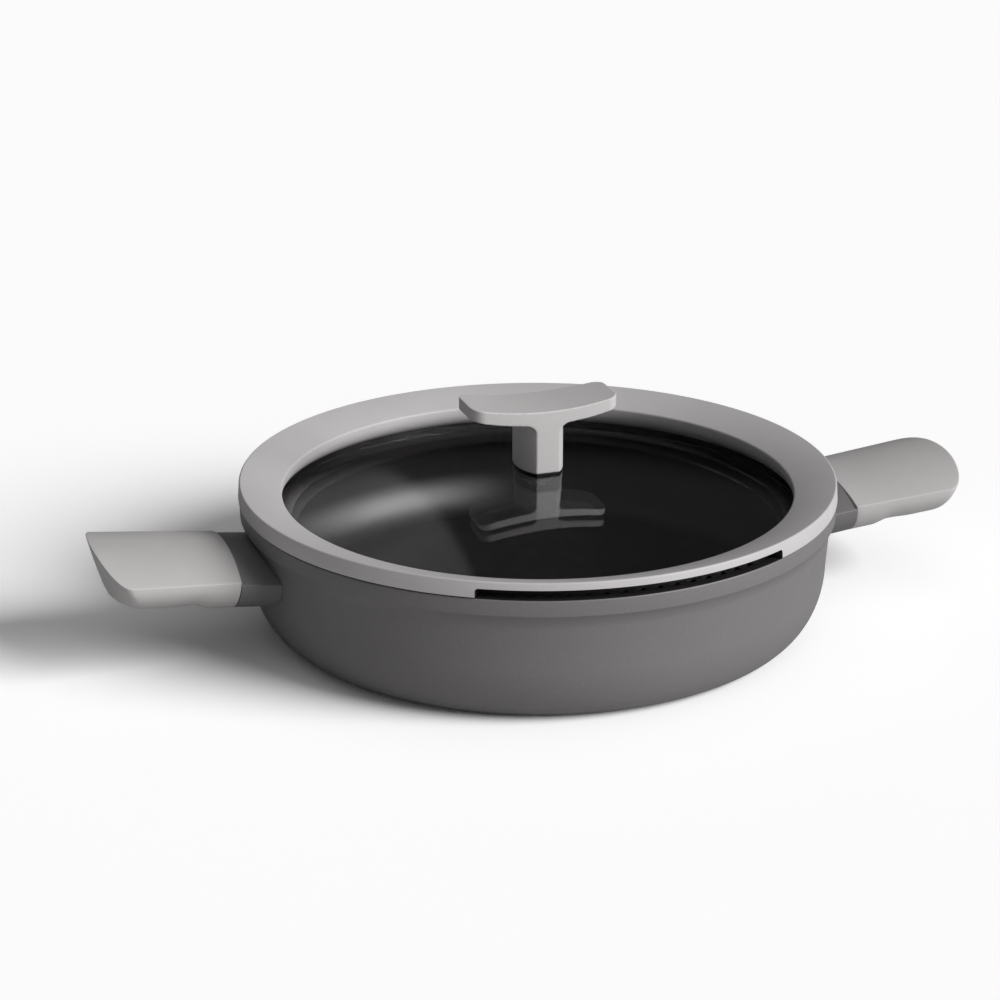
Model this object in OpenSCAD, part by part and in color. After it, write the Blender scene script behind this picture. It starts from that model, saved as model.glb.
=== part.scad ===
// Saute pan with two short grips and a lift-off glass lid, in millimetres.
// +Z is up and +X runs along the right handle. The origin is the middle of the base, where the pan stands.
// The pouring slot of the lid looks along -Y.

/* [Pan] */
// Outer radius of the rim band
rim_r = 145; // [135:0.5:160]
// Height of the rim above the stove
pan_h = 64.2; // [58:0.1:90]
// Height of the rim band
band_h = 7.7; // [5:0.1:10]
// How far the rim band stands proud of the wall
band_proud = 2.7; // [1.5:0.1:3.5]
// Height of the soft step under the rim band
step_h = 7; // [4:0.5:9]
// Wall thickness
wall_t = 3; // [2:0.1:3.5]
// Base thickness
base_t = 4.5; // [3.5:0.1:7]
// How far the wall leans in from the band down to the corner
wall_lean = 1.2; // [0:0.1:4]
// Width of the rounded bottom corner
corner_w = 20; // [14:0.5:28]
// Height of the rounded bottom corner
corner_h = 31.5; // [20:0.5:34]
// Distance from the edge of the induction plate out to the rounded corner
plate_margin = 9.1; // [7:0.1:40]
// Thickness of the induction plate
plate_t = 0.7; // [0.4:0.1:1.2]

/* [Handles] */
// Height from the side crease of a grip, where the grip starts, up to the pan's rim
handle_drop = 17.7; // [17.2:0.1:24]
// Distance from the rim band to the start of a grip
neck_l = 11.5; // [10.5:0.5:20]
// Length of a grip
grip_l = 65; // [60:1:90]
// Half width of a grip at its start
grip_half_w = 35.4; // [32:0.2:40]
// How much the half width grows for each millimetre of length
grip_flare = 0.0555; // [0:0.005:0.1]
// Rise of the crowned top above the crease
crown_h = 8.4; // [5:0.2:10]
// Depth of a grip below the crease
grip_depth = 17.5; // [16:0.5:22]
// How far the underside draws in at the bottom
grip_tuck = 24; // [18:1:27]
// Length of the rounded tip of a grip
tip_l = 8.5; // [6:0.5:16]
// How far the tip of a grip draws in at the bottom
tip_tuck = 10.5; // [6:0.5:14]
// Depth of the step for the fingers under a grip
finger_step = 1.6; // [0.5:0.1:3]
// Upward tilt of the handles
handle_tilt = 6.5; // [0:0.5:9]
// Width of the steel tongue
tongue_w = 24; // [16:1:30]
// Thickness of the steel tongue
tongue_t = 5; // [4:0.5:6]
// Length of the tongue inside a grip
tongue_reach = 32; // [24:1:45]
// Distance from the start of a grip to its screw
screw_s = 11.5; // [10:0.5:14]

/* [Lid] */
// Height of the lid rim's outer edge above the pan's rim
lid_rim_h = 8.5; // [7.5:0.1:12]
// Width of the lid rim from its outer edge to its inner crest
lid_rim_w = 20.5; // [19:0.5:30]
// How far the crest lies below the outer edge
crest_drop = 7.4; // [5:0.1:7.8]
// Width of the lid rim where it meets the glass
lip_w = 15.2; // [14.5:0.1:16.5]
// Radius of the dome of the glass
dome_r = 425; // [400:5:460]
// Glass thickness
glass_t = 4; // [3:0.5:4.5]
// Width of the glass held in the rim
glass_hold = 4.2; // [3.2:0.1:4.7]
// Height of the top of the dome above the lid rim's outer edge
dome_top = 3.5; // [3:0.1:6]
// Angle covered by the pouring slot
slot_angle = 60.6; // [30:0.2:80]
// Height of the pouring slot
slot_h = 4.5; // [3:0.1:5]
// Number of strainer slits behind the pouring slot
slit_count = 15; // [5:1:21]
// Width of a strainer slit
slit_w = 4; // [2:0.1:5]

/* [Knob] */
// Length of the crossbar
bar_l = 74.6; // [60:0.1:90]
// Depth of the crossbar at its middle
bar_d = 31.6; // [26:0.2:36]
// Thickness of the crossbar
bar_t = 6.8; // [5:0.1:8]
// How far the ends of the crossbar stand above its middle
bar_rise = 3.7; // [1:0.1:5]
// How far the underside of the crossbar's ends stands above its middle
bar_under_rise = 4.4; // [1:0.1:5]
// Height from the knob's foot to the middle of the crossbar's top
knob_h = 31.1; // [26:0.1:40]
// Width of the stem's front face
stem_w = 11.6; // [11:0.1:16]
// Width of the stem at its middle
stem_mid_w = 23; // [20:0.5:26]
// Radius of the fillets between stem and crossbar
neck_fillet = 6.5; // [2:0.5:8]
// Thickness of the pad under the knob
pad_t = 0.8; // [0.5:0.1:1.5]

/* [Fasteners] */
// Radius of the handle screws and the knob screw
screw_r = 2.5; // [2:0.1:3]
// Radius of the screw heads
head_r = 4.6; // [4:0.1:5]
// Height of the screw heads
head_h = 3; // [2.5:0.1:3.5]
// Radius of the washers
washer_r = 5.2; // [5:0.1:5.6]
// Thickness of the washers
washer_t = 1; // [0.8:0.1:1.4]
// Height of the plugs that close the screw holes
plug_h = 2.2; // [1.5:0.1:2.6]

/* [Fits] */
// Gap between pieces that are fixed to each other
fit_gap = 0.15; // [0.05:0.05:0.25]
// Gap between the lid and the top of the pan's rim
seat_gap = 0.3; // [0.2:0.05:0.5]
// Gap between the lid's skirt and the inside of the pan
skirt_gap = 1; // [0.6:0.1:1.5]
// Radial clearance of a screw in its thread
thread_gap = 0.05; // [0.02:0.01:0.1]
// Radial clearance of a screw in a plain hole
hole_gap = 0.3; // [0.2:0.05:0.5]

/* [Hidden] */
$fn = 120;
over = 1;
corner_steps = 12;

// Pan heights and radii
wall_top_r = rim_r - band_proud;
wall_low_r = wall_top_r - wall_lean;
plate_r = wall_low_r - corner_w - plate_margin;
crease_z = pan_h - handle_drop;
grip_x = rim_r + neck_l;
band_z = pan_h - band_h;
step_z = band_z - step_h;
mouth_r = wall_top_r - wall_t;
rim_edge = 0.6;

// Lid heights and radii
flange_z = pan_h + seat_gap;
lid_top_z = pan_h + lid_rim_h;
crest_z = lid_top_z - crest_drop;
crest_r = rim_r - lid_rim_w;
lip_r = rim_r - lip_w;
glass_r = lip_r + glass_hold;
skirt_r = mouth_r - skirt_gap;
glass_top_z = lid_top_z + dome_top;
dome_z = glass_top_z - dome_r;
lip_z = dome_z + sqrt(dome_r * dome_r - lip_r * lip_r);
rim_lip_under = 3;
skirt_z = dome_z + sqrt(pow(dome_r - glass_t, 2) - glass_r * glass_r) - rim_lip_under;
under_lip_r = lip_r + 0.7;
crest_nose = 1.2;
slot_back_r = glass_r + 1.3;
slot_corner = 1.6;
slit_pitch = (slot_angle - 8) / slit_count;

// Knob heights and radii
foot_z = glass_top_z + pad_t;
bar_mid_z = foot_z + knob_h;
bar_arc_r = arc_radius(bar_l, bar_rise);
bar_under_r = arc_radius(bar_l, bar_under_rise);
bar_side_sag = 2.4;
bar_side_r = arc_radius(bar_l, bar_side_sag);
bar_corner = 7;
bar_turn = asin((bar_l / 2 - bar_corner) / (bar_side_r - bar_corner));
stem_sag = (stem_mid_w - stem_w) / 2;
stem_side_r = arc_radius(bar_d, stem_sag);
pad_inset = 0.8;
insert_r = 4;
insert_l = 16;
sleeve_r = 4.2;
grommet_r = 9;
grommet_t = 1.2;
knob_washer_r = 8;
knob_screw_in = 13;

// Handle heights, measured square to the tilted handle from its crease
tongue_z = -6.5;
seat_z = -10.2;
crown_power = 2.2;
root_l = 27;
root_slope = 9.5;

// Radius of an arc over a chord
function arc_radius(chord, rise) = (chord * chord / 4 + rise * rise) / (2 * rise);

function flat(angle) = [cos(angle), sin(angle)];
function grip_half(s) = grip_half_w + grip_flare * s;

// Outer outline of the pan from the base's middle to the rim, drawn outwards by grow
function pan_outline(grow) = concat(
    [[0, -grow]],
    [for (i = [0 : corner_steps]) let (a = 90 * i / corner_steps)
        [wall_low_r - corner_w + (corner_w + grow) * sin(a), corner_h - (corner_h + grow) * cos(a)]],
    [[wall_top_r + grow, step_z]],
    [for (i = [1 : 5]) let (a = 90 * i / 5)
        [rim_r + grow - band_proud * cos(a), step_z + step_h * (1 - cos(a)) * 0.5 + step_h * sin(a) * 0.5]]);

module pan_body() {
    color([0.43, 0.42, 0.43])
    difference() {
        rotate_extrude()
            polygon(concat(
                pan_outline(0),
                [[rim_r, pan_h - rim_edge], [rim_r - rim_edge, pan_h], [mouth_r + rim_edge, pan_h],
                 [mouth_r, pan_h - rim_edge], [mouth_r, step_z]],
                [for (i = [0 : corner_steps]) let (a = 90 - 90 * i / corner_steps)
                    [wall_low_r - corner_w + (corner_w - wall_t) * sin(a), corner_h - (corner_h - base_t) * cos(a)]],
                [[0, base_t]]));
        translate([0, 0, -over])
            cylinder(r = plate_r + fit_gap, h = over + plate_t + 0.3);
    }
}

module induction_plate() {
    color([0.72, 0.72, 0.73])
    translate([0, 0, 0.3])
        difference() {
            cylinder(r = plate_r, h = plate_t);
            for (ring = [1 : 5])
                for (i = [0 : 6 * ring - 1])
                    rotate(360 * i / (6 * ring))
                        translate([ring * plate_r / 5.6, 0, -over])
                            cylinder(r = 2.5, h = plate_t + 2 * over, $fn = 24);
        }
}

// Puts its children on the right (side 1) or left (side -1) handle. X runs out along the tilted handle from
// the start of the grip, and Z is 0 at the side crease.
module on_handle(side) {
    rotate(side > 0 ? 0 : 180)
        translate([grip_x, 0, crease_z])
            rotate([0, -handle_tilt, 0])
                children();
}

// How far the underside draws in at a share of its depth
function tuck(share) = grip_tuck * (1 - sqrt(1 - share * share));

// Height of the crowned top at a distance u from the middle line
function crown(u, half) = crown_h * (1 - pow(abs(u) / half, crown_power));

// Cross section of a handle: crowned top, side creases, and an underside drawn in to a narrow flat
function handle_section(half) = concat(
    [for (i = [-10 : 10]) let (u = half * i / 10) [u, crown(u, half)]],
    [for (i = [1 : 8]) let (a = 90 * i / 8) [half - grip_tuck * (1 - cos(a)), -grip_depth * sin(a)]],
    [for (i = [8 : -1 : 1]) let (a = 90 * i / 8) [-half + grip_tuck * (1 - cos(a)), -grip_depth * sin(a)]]);

// How far the leaning end of a grip lies inside the tip of its top, at a height
function tip_lean(height) = tip_tuck * (crown_h - height) / (crown_h + grip_depth);

// Plan of a grip: flared sides and an elliptical tip, drawn in at the sides and at the tip
function grip_plan(side_in, tip_in) = let (
    half = grip_half(grip_l - tip_l) - side_in,
    side = concat(
        [[0, grip_half(0) - side_in]],
        [for (i = [0 : 11]) [grip_l - tip_in - tip_l * (1 - sin(7.5 * i)), half * cos(7.5 * i)]],
        [[grip_l - tip_in, 0]]))
    concat(side, [for (i = [len(side) - 2 : -1 : 0]) [side[i][0], -side[i][1]]]);

// Plan of the deeper inner end of a grip
function root_plan(side_in, length) =
    [[0, grip_half(0) - side_in], [length, grip_half(length) - side_in],
     [length, side_in - grip_half(length)], [0, side_in - grip_half(0)]];

// Solid shape of a grip before it is bored
module grip_solid() {
    hull() {
        intersection() {
            hull() {
                translate([0, 0, crown_h])
                    linear_extrude(0.01)
                        polygon(grip_plan(0, 0));
                linear_extrude(0.01)
                    polygon(grip_plan(0, tip_lean(0)));
            }
            rotate([90, 0, 90])
                linear_extrude(grip_l)
                    polygon([for (p = handle_section(grip_half(grip_l / 2) + 1)) [p[0], max(p[1], -over)]]);
        }
        for (i = [0 : 6])
            let (share = sin(15 * i))
                translate([0, 0, (finger_step - grip_depth) * share])
                    linear_extrude(0.01)
                        polygon(grip_plan(tuck(share), tip_lean(-grip_depth * share)));
    }
    hull()
        for (i = [0 : 6])
            let (share = sin(15 * i))
                translate([0, 0, -grip_depth * share - 0.5 * (1 - share)])
                    linear_extrude(0.01)
                        polygon(root_plan(tuck(share) + 0.02, root_l - root_slope * share));
}

// Bar that the tongue needs clear around it
module tongue_bar(start, end, gap) {
    translate([start, -tongue_w / 2 - gap, tongue_z - gap])
        cube([end - start, tongue_w + 2 * gap, tongue_t + 2 * gap]);
}

// Neck sleeve between the wall and the grip, cut to the outside of the pan
module neck(side) {
    color([0.40, 0.39, 0.40])
    difference() {
        on_handle(side)
            difference() {
                translate([-30, 0, 0])
                    rotate([90, 0, 90])
                        linear_extrude(30 - fit_gap)
                            polygon(handle_section(grip_half_w));
                tongue_bar(-40, over, fit_gap);
            }
        rotate_extrude()
            polygon(concat(pan_outline(fit_gap), [[rim_r + fit_gap, pan_h], [0, pan_h]]));
    }
}

module neck_left() { neck(-1); }
module neck_right() { neck(1); }

// Steel tongue, welded to the wall, with a threaded hole for the handle screw
module tongue(side) {
    color([0.70, 0.70, 0.72])
    difference() {
        on_handle(side)
            difference() {
                tongue_bar(-30, tongue_reach, 0);
                translate([screw_s, 0, tongue_z - over])
                    cylinder(r = screw_r + thread_gap, h = tongue_t + 2 * over);
            }
        rotate_extrude()
            polygon(concat(pan_outline(fit_gap), [[rim_r + fit_gap, pan_h], [0, pan_h]]));
    }
}

module tongue_left() { tongue(-1); }
module tongue_right() { tongue(1); }

module grip(side) {
    color([0.74, 0.73, 0.72])
    on_handle(side)
        difference() {
            grip_solid();
            tongue_bar(-over, tongue_reach + hole_gap, fit_gap);
            translate([screw_s, 0, -grip_depth - over])
                cylinder(r = screw_r + hole_gap, h = grip_depth + tongue_z + tongue_t);
            translate([screw_s, 0, -grip_depth - over])
                cylinder(r = washer_r + fit_gap, h = grip_depth + seat_z + over);
        }
}

module grip_left() { grip(-1); }
module grip_right() { grip(1); }

// Runs its children once at the screw of each handle
module at_each_screw() {
    for (side = [-1, 1])
        on_handle(side)
            translate([screw_s, 0, 0])
                children();
}

module handle_screws() {
    color([0.66, 0.66, 0.68])
    at_each_screw()
        difference() {
            union() {
                translate([0, 0, seat_z - washer_t - fit_gap - head_h])
                    cylinder(r = head_r, h = head_h);
                translate([0, 0, seat_z - washer_t - fit_gap - over])
                    cylinder(r = screw_r, h = tongue_z + tongue_t - 0.5 - seat_z + washer_t + over);
            }
            translate([0, 0, seat_z - washer_t - fit_gap - head_h - over])
                cylinder(r = 1.6, h = over + 1.5, $fn = 6);
        }
}

module handle_washers() {
    color([0.62, 0.62, 0.64])
    at_each_screw()
        translate([0, 0, seat_z - washer_t])
            difference() {
                cylinder(r = washer_r - fit_gap, h = washer_t);
                translate([0, 0, -over])
                    cylinder(r = screw_r + hole_gap, h = washer_t + 2 * over);
            }
}

module screw_plugs() {
    color([0.70, 0.69, 0.68])
    at_each_screw()
        translate([0, 0, -grip_depth])
            cylinder(r = washer_r, h = plug_h);
}

// Solid between two spheres about the dome's centre, out to a given radius
module dome_shell(outside, inside, reach) {
    difference() {
        intersection() {
            translate([0, 0, dome_z])
                sphere(r = outside);
            translate([0, 0, skirt_z - 20])
                cylinder(r = reach, h = glass_top_z - skirt_z + 40);
        }
        translate([0, 0, dome_z])
            sphere(r = inside);
    }
}

module lid_glass() {
    color([0.20, 0.21, 0.22, 0.35])
    difference() {
        dome_shell(dome_r, dome_r - glass_t, glass_r);
        translate([0, 0, glass_top_z - 20])
            cylinder(r = sleeve_r + fit_gap, h = 40);
    }
}

// Sector of a ring, centred on the -Y side
module sector(angle, inner, outer, low, high) {
    reach = outer / cos(angle / 2) + over;
    translate([0, 0, low])
        difference() {
            intersection() {
                cylinder(r = outer, h = high - low);
                linear_extrude(high - low)
                    polygon([[0, 0], reach * flat(-90 - angle / 2), reach * flat(-90), reach * flat(-90 + angle / 2)]);
            }
            translate([0, 0, -over])
                cylinder(r = inner, h = high - low + 2 * over);
        }
}

// Opening low in the side of the lid rim, with rounded upper corners
module pouring_slot() {
    corner_angle = slot_corner / rim_r * 180 / PI;
    sector(slot_angle, slot_back_r, rim_r + 5, flange_z - over, flange_z + slot_h - slot_corner);
    sector(slot_angle - 2 * corner_angle, slot_back_r, rim_r + 5, flange_z - over, flange_z + slot_h);
    for (side = [-1, 1])
        rotate(-90 + side * (slot_angle / 2 - corner_angle))
            translate([slot_back_r, 0, flange_z + slot_h - slot_corner])
                rotate([0, 90, 0])
                    cylinder(r = slot_corner, h = rim_r + 5 - slot_back_r, $fn = 32);
}

// Narrow slits that lead up the outside of the skirt to the pouring slot
module strainer_slits() {
    for (i = [0 : slit_count - 1])
        rotate(-90 + (i - (slit_count - 1) / 2) * slit_pitch)
            translate([slot_back_r, -slit_w / 2, skirt_z - over])
                cube([skirt_r - slot_back_r + over, slit_w, flange_z - skirt_z + 2 * over]);
}

module lid_rim() {
    nose_r = crest_r + crest_nose;
    color([0.74, 0.73, 0.72])
    difference() {
        rotate_extrude()
            union() {
                polygon([
                    [rim_r + 0.6, flange_z], [rim_r, lid_top_z - 0.5], [rim_r - 0.5, lid_top_z],
                    [nose_r - 0.4, crest_z + crest_nose], [nose_r, crest_z - crest_nose],
                    [lip_r, lip_z + fit_gap], [under_lip_r, lip_z - glass_t], [under_lip_r + 1, skirt_z],
                    [skirt_r - 1, skirt_z], [skirt_r, skirt_z + 1], [skirt_r, flange_z]]);
                translate([nose_r, crest_z])
                    circle(r = crest_nose, $fn = 32);
            }
        dome_shell(dome_r + fit_gap, dome_r - glass_t - fit_gap, glass_r + fit_gap);
        pouring_slot();
        strainer_slits();
    }
}

// Front view of the knob: a T with a hollowed top and filleted inner corners
module knob_front() {
    under_z = bar_mid_z - bar_t;
    fillet_x = stem_w / 2 - 0.4 + neck_fillet;
    fillet_z = under_z + bar_under_r - sqrt(pow(bar_under_r + neck_fillet, 2) - fillet_x * fillet_x);
    intersection() {
        difference() {
            translate([0, under_z + bar_under_r])
                circle(r = bar_under_r);
            translate([0, bar_mid_z + bar_arc_r])
                circle(r = bar_arc_r);
        }
        translate([-bar_l / 2, under_z - over])
            square([bar_l, bar_t + bar_rise + 2 * over]);
    }
    difference() {
        translate([-fillet_x, fillet_z])
            square([2 * fillet_x, bar_mid_z - bar_t / 2 - fillet_z]);
        for (side = [-1, 1])
            translate([side * fillet_x, fillet_z])
                circle(r = neck_fillet, $fn = 48);
    }
}

// Plan of the crossbar: bowed long sides, flat ends and round corners
function bar_quarter() = let (
    middle_y = bar_side_r - bar_d / 2,
    corner_y = (bar_side_r - bar_corner) * cos(bar_turn) - middle_y)
    concat(
        [for (i = [0 : 9]) let (a = bar_turn * i / 10) [bar_side_r * sin(a), bar_side_r * cos(a) - middle_y]],
        [for (i = [0 : 7]) let (a = (90 - bar_turn) * (1 - i / 7))
            [bar_l / 2 - bar_corner + bar_corner * cos(a), corner_y + bar_corner * sin(a)]]);

module bar_plan() {
    quarter = bar_quarter();
    last = len(quarter) - 1;
    polygon(concat(
        quarter,
        [for (i = [last : -1 : 0]) [quarter[i][0], -quarter[i][1]]],
        [for (i = [1 : last]) [-quarter[i][0], -quarter[i][1]]],
        [for (i = [last : -1 : 1]) [-quarter[i][0], quarter[i][1]]]));
}

// Plan of the stem: flat front and back, bowed sides
module stem_plan(inset, depth) {
    intersection() {
        intersection_for (side = [-1, 1])
            translate([side * (stem_side_r - stem_mid_w / 2), 0])
                circle(r = stem_side_r - inset);
        square([stem_mid_w, depth], center = true);
    }
}

module knob() {
    color([0.75, 0.74, 0.73])
    difference() {
        intersection() {
            union() {
                rotate([90, 0, 0])
                    linear_extrude(bar_d + over, center = true)
                        knob_front();
                translate([0, 0, foot_z])
                    linear_extrude(knob_h - bar_t / 2)
                        stem_plan(0, bar_d + over);
            }
            translate([0, 0, foot_z])
                linear_extrude(knob_h + bar_rise + over)
                    bar_plan();
        }
        translate([0, 0, foot_z - over])
            cylinder(r = insert_r + fit_gap, h = insert_l + fit_gap + over);
    }
}

module knob_pad() {
    color([0.35, 0.35, 0.36])
    difference() {
        translate([0, 0, glass_top_z])
            linear_extrude(pad_t)
                stem_plan(pad_inset, bar_d - 2 * pad_inset);
        translate([0, 0, glass_top_z - over])
            cylinder(r = sleeve_r + fit_gap, h = pad_t + 2 * over);
    }
}

// Sleeve through the glass with a flange under it
module hole_grommet() {
    flange_top = glass_top_z - glass_t - fit_gap;
    color([0.35, 0.35, 0.36])
    difference() {
        union() {
            translate([0, 0, flange_top - grommet_t])
                cylinder(r = grommet_r, h = grommet_t);
            translate([0, 0, flange_top - over])
                cylinder(r = sleeve_r, h = foot_z - fit_gap - flange_top + over);
        }
        translate([0, 0, flange_top - grommet_t - over])
            cylinder(r = screw_r + fit_gap, h = 20);
    }
}

module knob_insert() {
    color([0.78, 0.62, 0.30])
    difference() {
        translate([0, 0, foot_z])
            cylinder(r = insert_r, h = insert_l);
        translate([0, 0, foot_z - over])
            cylinder(r = screw_r + thread_gap, h = insert_l - 1 + over);
    }
}

module knob_washer() {
    washer_top = glass_top_z - glass_t - fit_gap - grommet_t;
    color([0.62, 0.62, 0.64])
    translate([0, 0, washer_top - washer_t])
        difference() {
            cylinder(r = knob_washer_r, h = washer_t);
            translate([0, 0, -over])
                cylinder(r = screw_r + hole_gap, h = washer_t + 2 * over);
        }
}

module knob_screw() {
    head_top = glass_top_z - glass_t - fit_gap - grommet_t - washer_t;
    color([0.66, 0.66, 0.68])
    difference() {
        union() {
            translate([0, 0, head_top - head_h])
                cylinder(r = head_r, h = head_h);
            translate([0, 0, head_top - over])
                cylinder(r = screw_r, h = foot_z + knob_screw_in - head_top + over);
        }
        for (turn = [0, 90])
            rotate(turn)
                translate([-head_r * 0.6, -0.5, head_top - head_h - over])
                    cube([head_r * 1.2, 1, 1.2 + over]);
    }
}

pan_body();
induction_plate();
neck_left();
neck_right();
tongue_left();
tongue_right();
grip_left();
grip_right();
handle_screws();
handle_washers();
screw_plugs();
lid_glass();
lid_rim();
knob();
knob_pad();
hole_grommet();
knob_insert();
knob_screw();
knob_washer();
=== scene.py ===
import math

import bmesh
import bpy
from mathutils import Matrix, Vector


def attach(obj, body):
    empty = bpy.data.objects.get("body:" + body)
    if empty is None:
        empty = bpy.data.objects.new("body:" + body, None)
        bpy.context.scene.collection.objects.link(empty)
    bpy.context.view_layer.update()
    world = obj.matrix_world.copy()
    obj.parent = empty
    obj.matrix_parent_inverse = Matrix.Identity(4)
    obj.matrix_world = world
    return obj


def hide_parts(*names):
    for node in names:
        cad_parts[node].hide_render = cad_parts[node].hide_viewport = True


# Saute pan with two short grips and a lift-off glass lid. The lengths below are in millimetres and are made
# metres where a piece is modelled. Radii and heights are those of the construction model. The ends of the
# grips are rounder here than there.

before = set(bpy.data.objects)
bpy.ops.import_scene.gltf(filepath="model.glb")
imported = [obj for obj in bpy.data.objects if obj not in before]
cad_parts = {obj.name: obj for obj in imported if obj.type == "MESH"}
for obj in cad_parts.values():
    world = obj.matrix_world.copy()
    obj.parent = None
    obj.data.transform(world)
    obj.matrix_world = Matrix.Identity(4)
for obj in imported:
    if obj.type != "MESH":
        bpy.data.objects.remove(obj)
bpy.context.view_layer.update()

MM = 0.001

# How far a cutter reaches past what it cuts
OVER = 1.0

# Pan
RIM_R = 145.0
PAN_H = 64.2
BAND_PROUD = 2.7
STEP_Z = 49.5
STEP_H = 7.0
MOUTH_R = 139.3
WALL_T = 3.0
CORNER_R = 121.1
CORNER_W = 20.0
CORNER_H = 31.5
BASE_T = 4.5
BASE_LOOP_R = 60.0
PLATE_HOLE_R = 112.15
PLATE_HOLE_T = 1.0
RIM_EDGE = 0.9
BAND_EDGE = 0.8
PLATE_EDGE = 0.3

# Dark coating of the bowl, whose limit lies inside the wall, and painted shade in the same dark colour on
# the top of the rim, where the rim shows in the lid's slot
COAT_W = 18.5
COAT_H = 29.2
RIM_SHADE_T = 0.2

# Lid
FLANGE_Z = 64.5
FLANGE_FLARE = 0.6
FLANGE_EDGE = 0.6
LID_TOP_Z = 72.7
LID_TOP_EDGE = 0.8
CREST_Z = 65.3
CREST_R = 124.5
CREST_NOSE = 1.2
CREST_START = 109.9
LIP_CURVE = ((124.5, 63.8), (124.65, 62.4), (125.1, 61.0), (125.85, 59.6), (126.9, 58.3), (128.2, 57.1))
LIP_R = 129.8
LIP_EDGE = 0.3
UNDER_LIP_R = 130.5
SKIRT_IN_R = 131.5
SKIRT_IN_EDGE = 0.5
SKIRT_R = 138.3
SKIRT_EDGE = 1.0
SKIRT_Z = 47.3
DOME_R = 425.0
DOME_Z = -348.8
GLASS_T = 4.0
GLASS_R = 134.0
SLOT_ANGLE = 60.6
SLOT_H = 4.5
SLOT_CORNER = 1.6
SLOT_BACK_R = 135.3
SLOT_FRONT_R = 150.0
SLIT_COUNT = 15
SLIT_W = 4.0
SLITS_SHORT_OF_SLOT = 8.0
SLEEVE_HOLE_R = 4.35

# Knob
FOOT_Z = 77.0
BAR_MID_Z = 108.1
BAR_L = 74.6
BAR_D = 31.6
BAR_T = 6.8
BAR_RISE = 3.7
BAR_UNDER_RISE = 4.4
BAR_SIDE_SAG = 2.4
BAR_CORNER = 7.0
STEM_W = 11.6
STEM_MID_W = 23.0
STEM_OVER = 0.6
BLANK_HALF_D = 18.0
BLANK_H = 50.0
NECK_FILLET = 6.5
FILLET_SINK = 0.4
KNOB_VOXEL = 0.36
INSERT_HOLE_R = 4.15
INSERT_HOLE_L = 16.15

# Handles, each modelled with the crease of its inner end at the origin and its length along x
CREASE_Z = 46.5
GRIP_X = 156.5
GRIP_L = 65.0
GRIP_HALF_W = 35.4
GRIP_FLARE = 0.0555
GRIP_EDGE = 0.4
CROWN_H = 8.4
CROWN_HALF = 38.2
CROWN_POWER = 2.2
GRIP_DEPTH = 17.5
GRIP_TUCK = 24.0
TUCK_HALF_W = 36.9
TIP_L = 14.0
TIP_TUCK = 11.0
TIP_ROUND = 0.2
LOOP_MIDDLE = 27.0
FINGER_STEP = 2.0
FINGER_START = 11.5
FINGER_FULL = 20.0
FINGER_FADE = 0.45
FADE_START = 21.0
FADE_END = 34.0
FINGER_CUTS = (11.5, 13, 14.5, 16, 17.5, 19, 20.5, 22.5, 25, 28, 31, 34)
HANDLE_TILT = 6.5
SCREW_S = 11.5
SEAT_Z = -10.2
HEAD_HOLE_R = 5.35
SCREW_HOLE_R = 2.8
SCREW_HOLE_TOP = -1.5
POCKET_L = 32.3
POCKET_W = 24.3
POCKET_T = 5.3
TONGUE_MID_Z = -4.0
NECK_L = 30.0
NECK_EDGE = 0.8
WALL_TOP_Z = 70.0
FIT_GAP = 0.15


# Modelling helpers

def deselect():
    bpy.ops.object.select_all(action="DESELECT")


def take(piece):
    """Makes a piece the only selected and the active one."""
    deselect()
    piece.select_set(True)
    bpy.context.view_layer.objects.active = piece


def pick(piece, test):
    """In edit mode, selects the corners that pass a test on their place in millimetres."""
    bpy.ops.mesh.select_mode(type="VERT")
    bpy.ops.mesh.select_all(action="DESELECT")
    mesh = bmesh.from_edit_mesh(piece.data)
    for corner in mesh.verts:
        corner.select_set(test(corner.co / MM))
    mesh.select_flush_mode()
    bmesh.update_edit_mesh(piece.data)


def drawn(name, points, closed=True):
    """Merges a plane to one corner and draws that on along the points. Leaves the piece in edit mode."""
    deselect()
    bpy.ops.mesh.primitive_plane_add(size=0.01, location=(0, 0, 0))
    piece = bpy.context.object
    piece.name = name
    bpy.ops.object.mode_set(mode="EDIT")
    bpy.ops.mesh.select_mode(type="VERT")
    bpy.ops.mesh.select_all(action="SELECT")
    bpy.ops.mesh.merge(type="CENTER")
    bpy.ops.transform.translate(value=Vector(points[0]) * MM)
    for before, after in zip(points, points[1:]):
        step = (Vector(after) - Vector(before)) * MM
        bpy.ops.mesh.extrude_vertices_move(TRANSFORM_OT_translate={"value": step})
    if closed:
        bpy.ops.mesh.select_all(action="SELECT")
        bpy.ops.mesh.edge_face_add()
    return piece


def turned(name, outline, steps=256):
    """Spins an outline of (radius, height) points once round the pan's axis."""
    points = [(radius, 0, height) for radius, height in outline]
    piece = drawn(name, points, closed=False)
    bpy.ops.mesh.select_all(action="SELECT")
    bpy.ops.mesh.spin(steps=steps, angle=2 * math.pi, center=(0, 0, 0), axis=(0, 0, 1))
    bpy.ops.mesh.select_all(action="SELECT")
    bpy.ops.mesh.remove_doubles(threshold=0.000004)
    bpy.ops.mesh.normals_make_consistent(inside=False)
    bpy.ops.object.mode_set(mode="OBJECT")
    return piece


def prism(name, points, push):
    """Fills a closed outline and extrudes it by push."""
    piece = drawn(name, points)
    bpy.ops.mesh.extrude_region_move(TRANSFORM_OT_translate={"value": Vector(push) * MM})
    bpy.ops.mesh.select_all(action="SELECT")
    bpy.ops.mesh.normals_make_consistent(inside=False)
    bpy.ops.object.mode_set(mode="OBJECT")
    return piece


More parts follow.
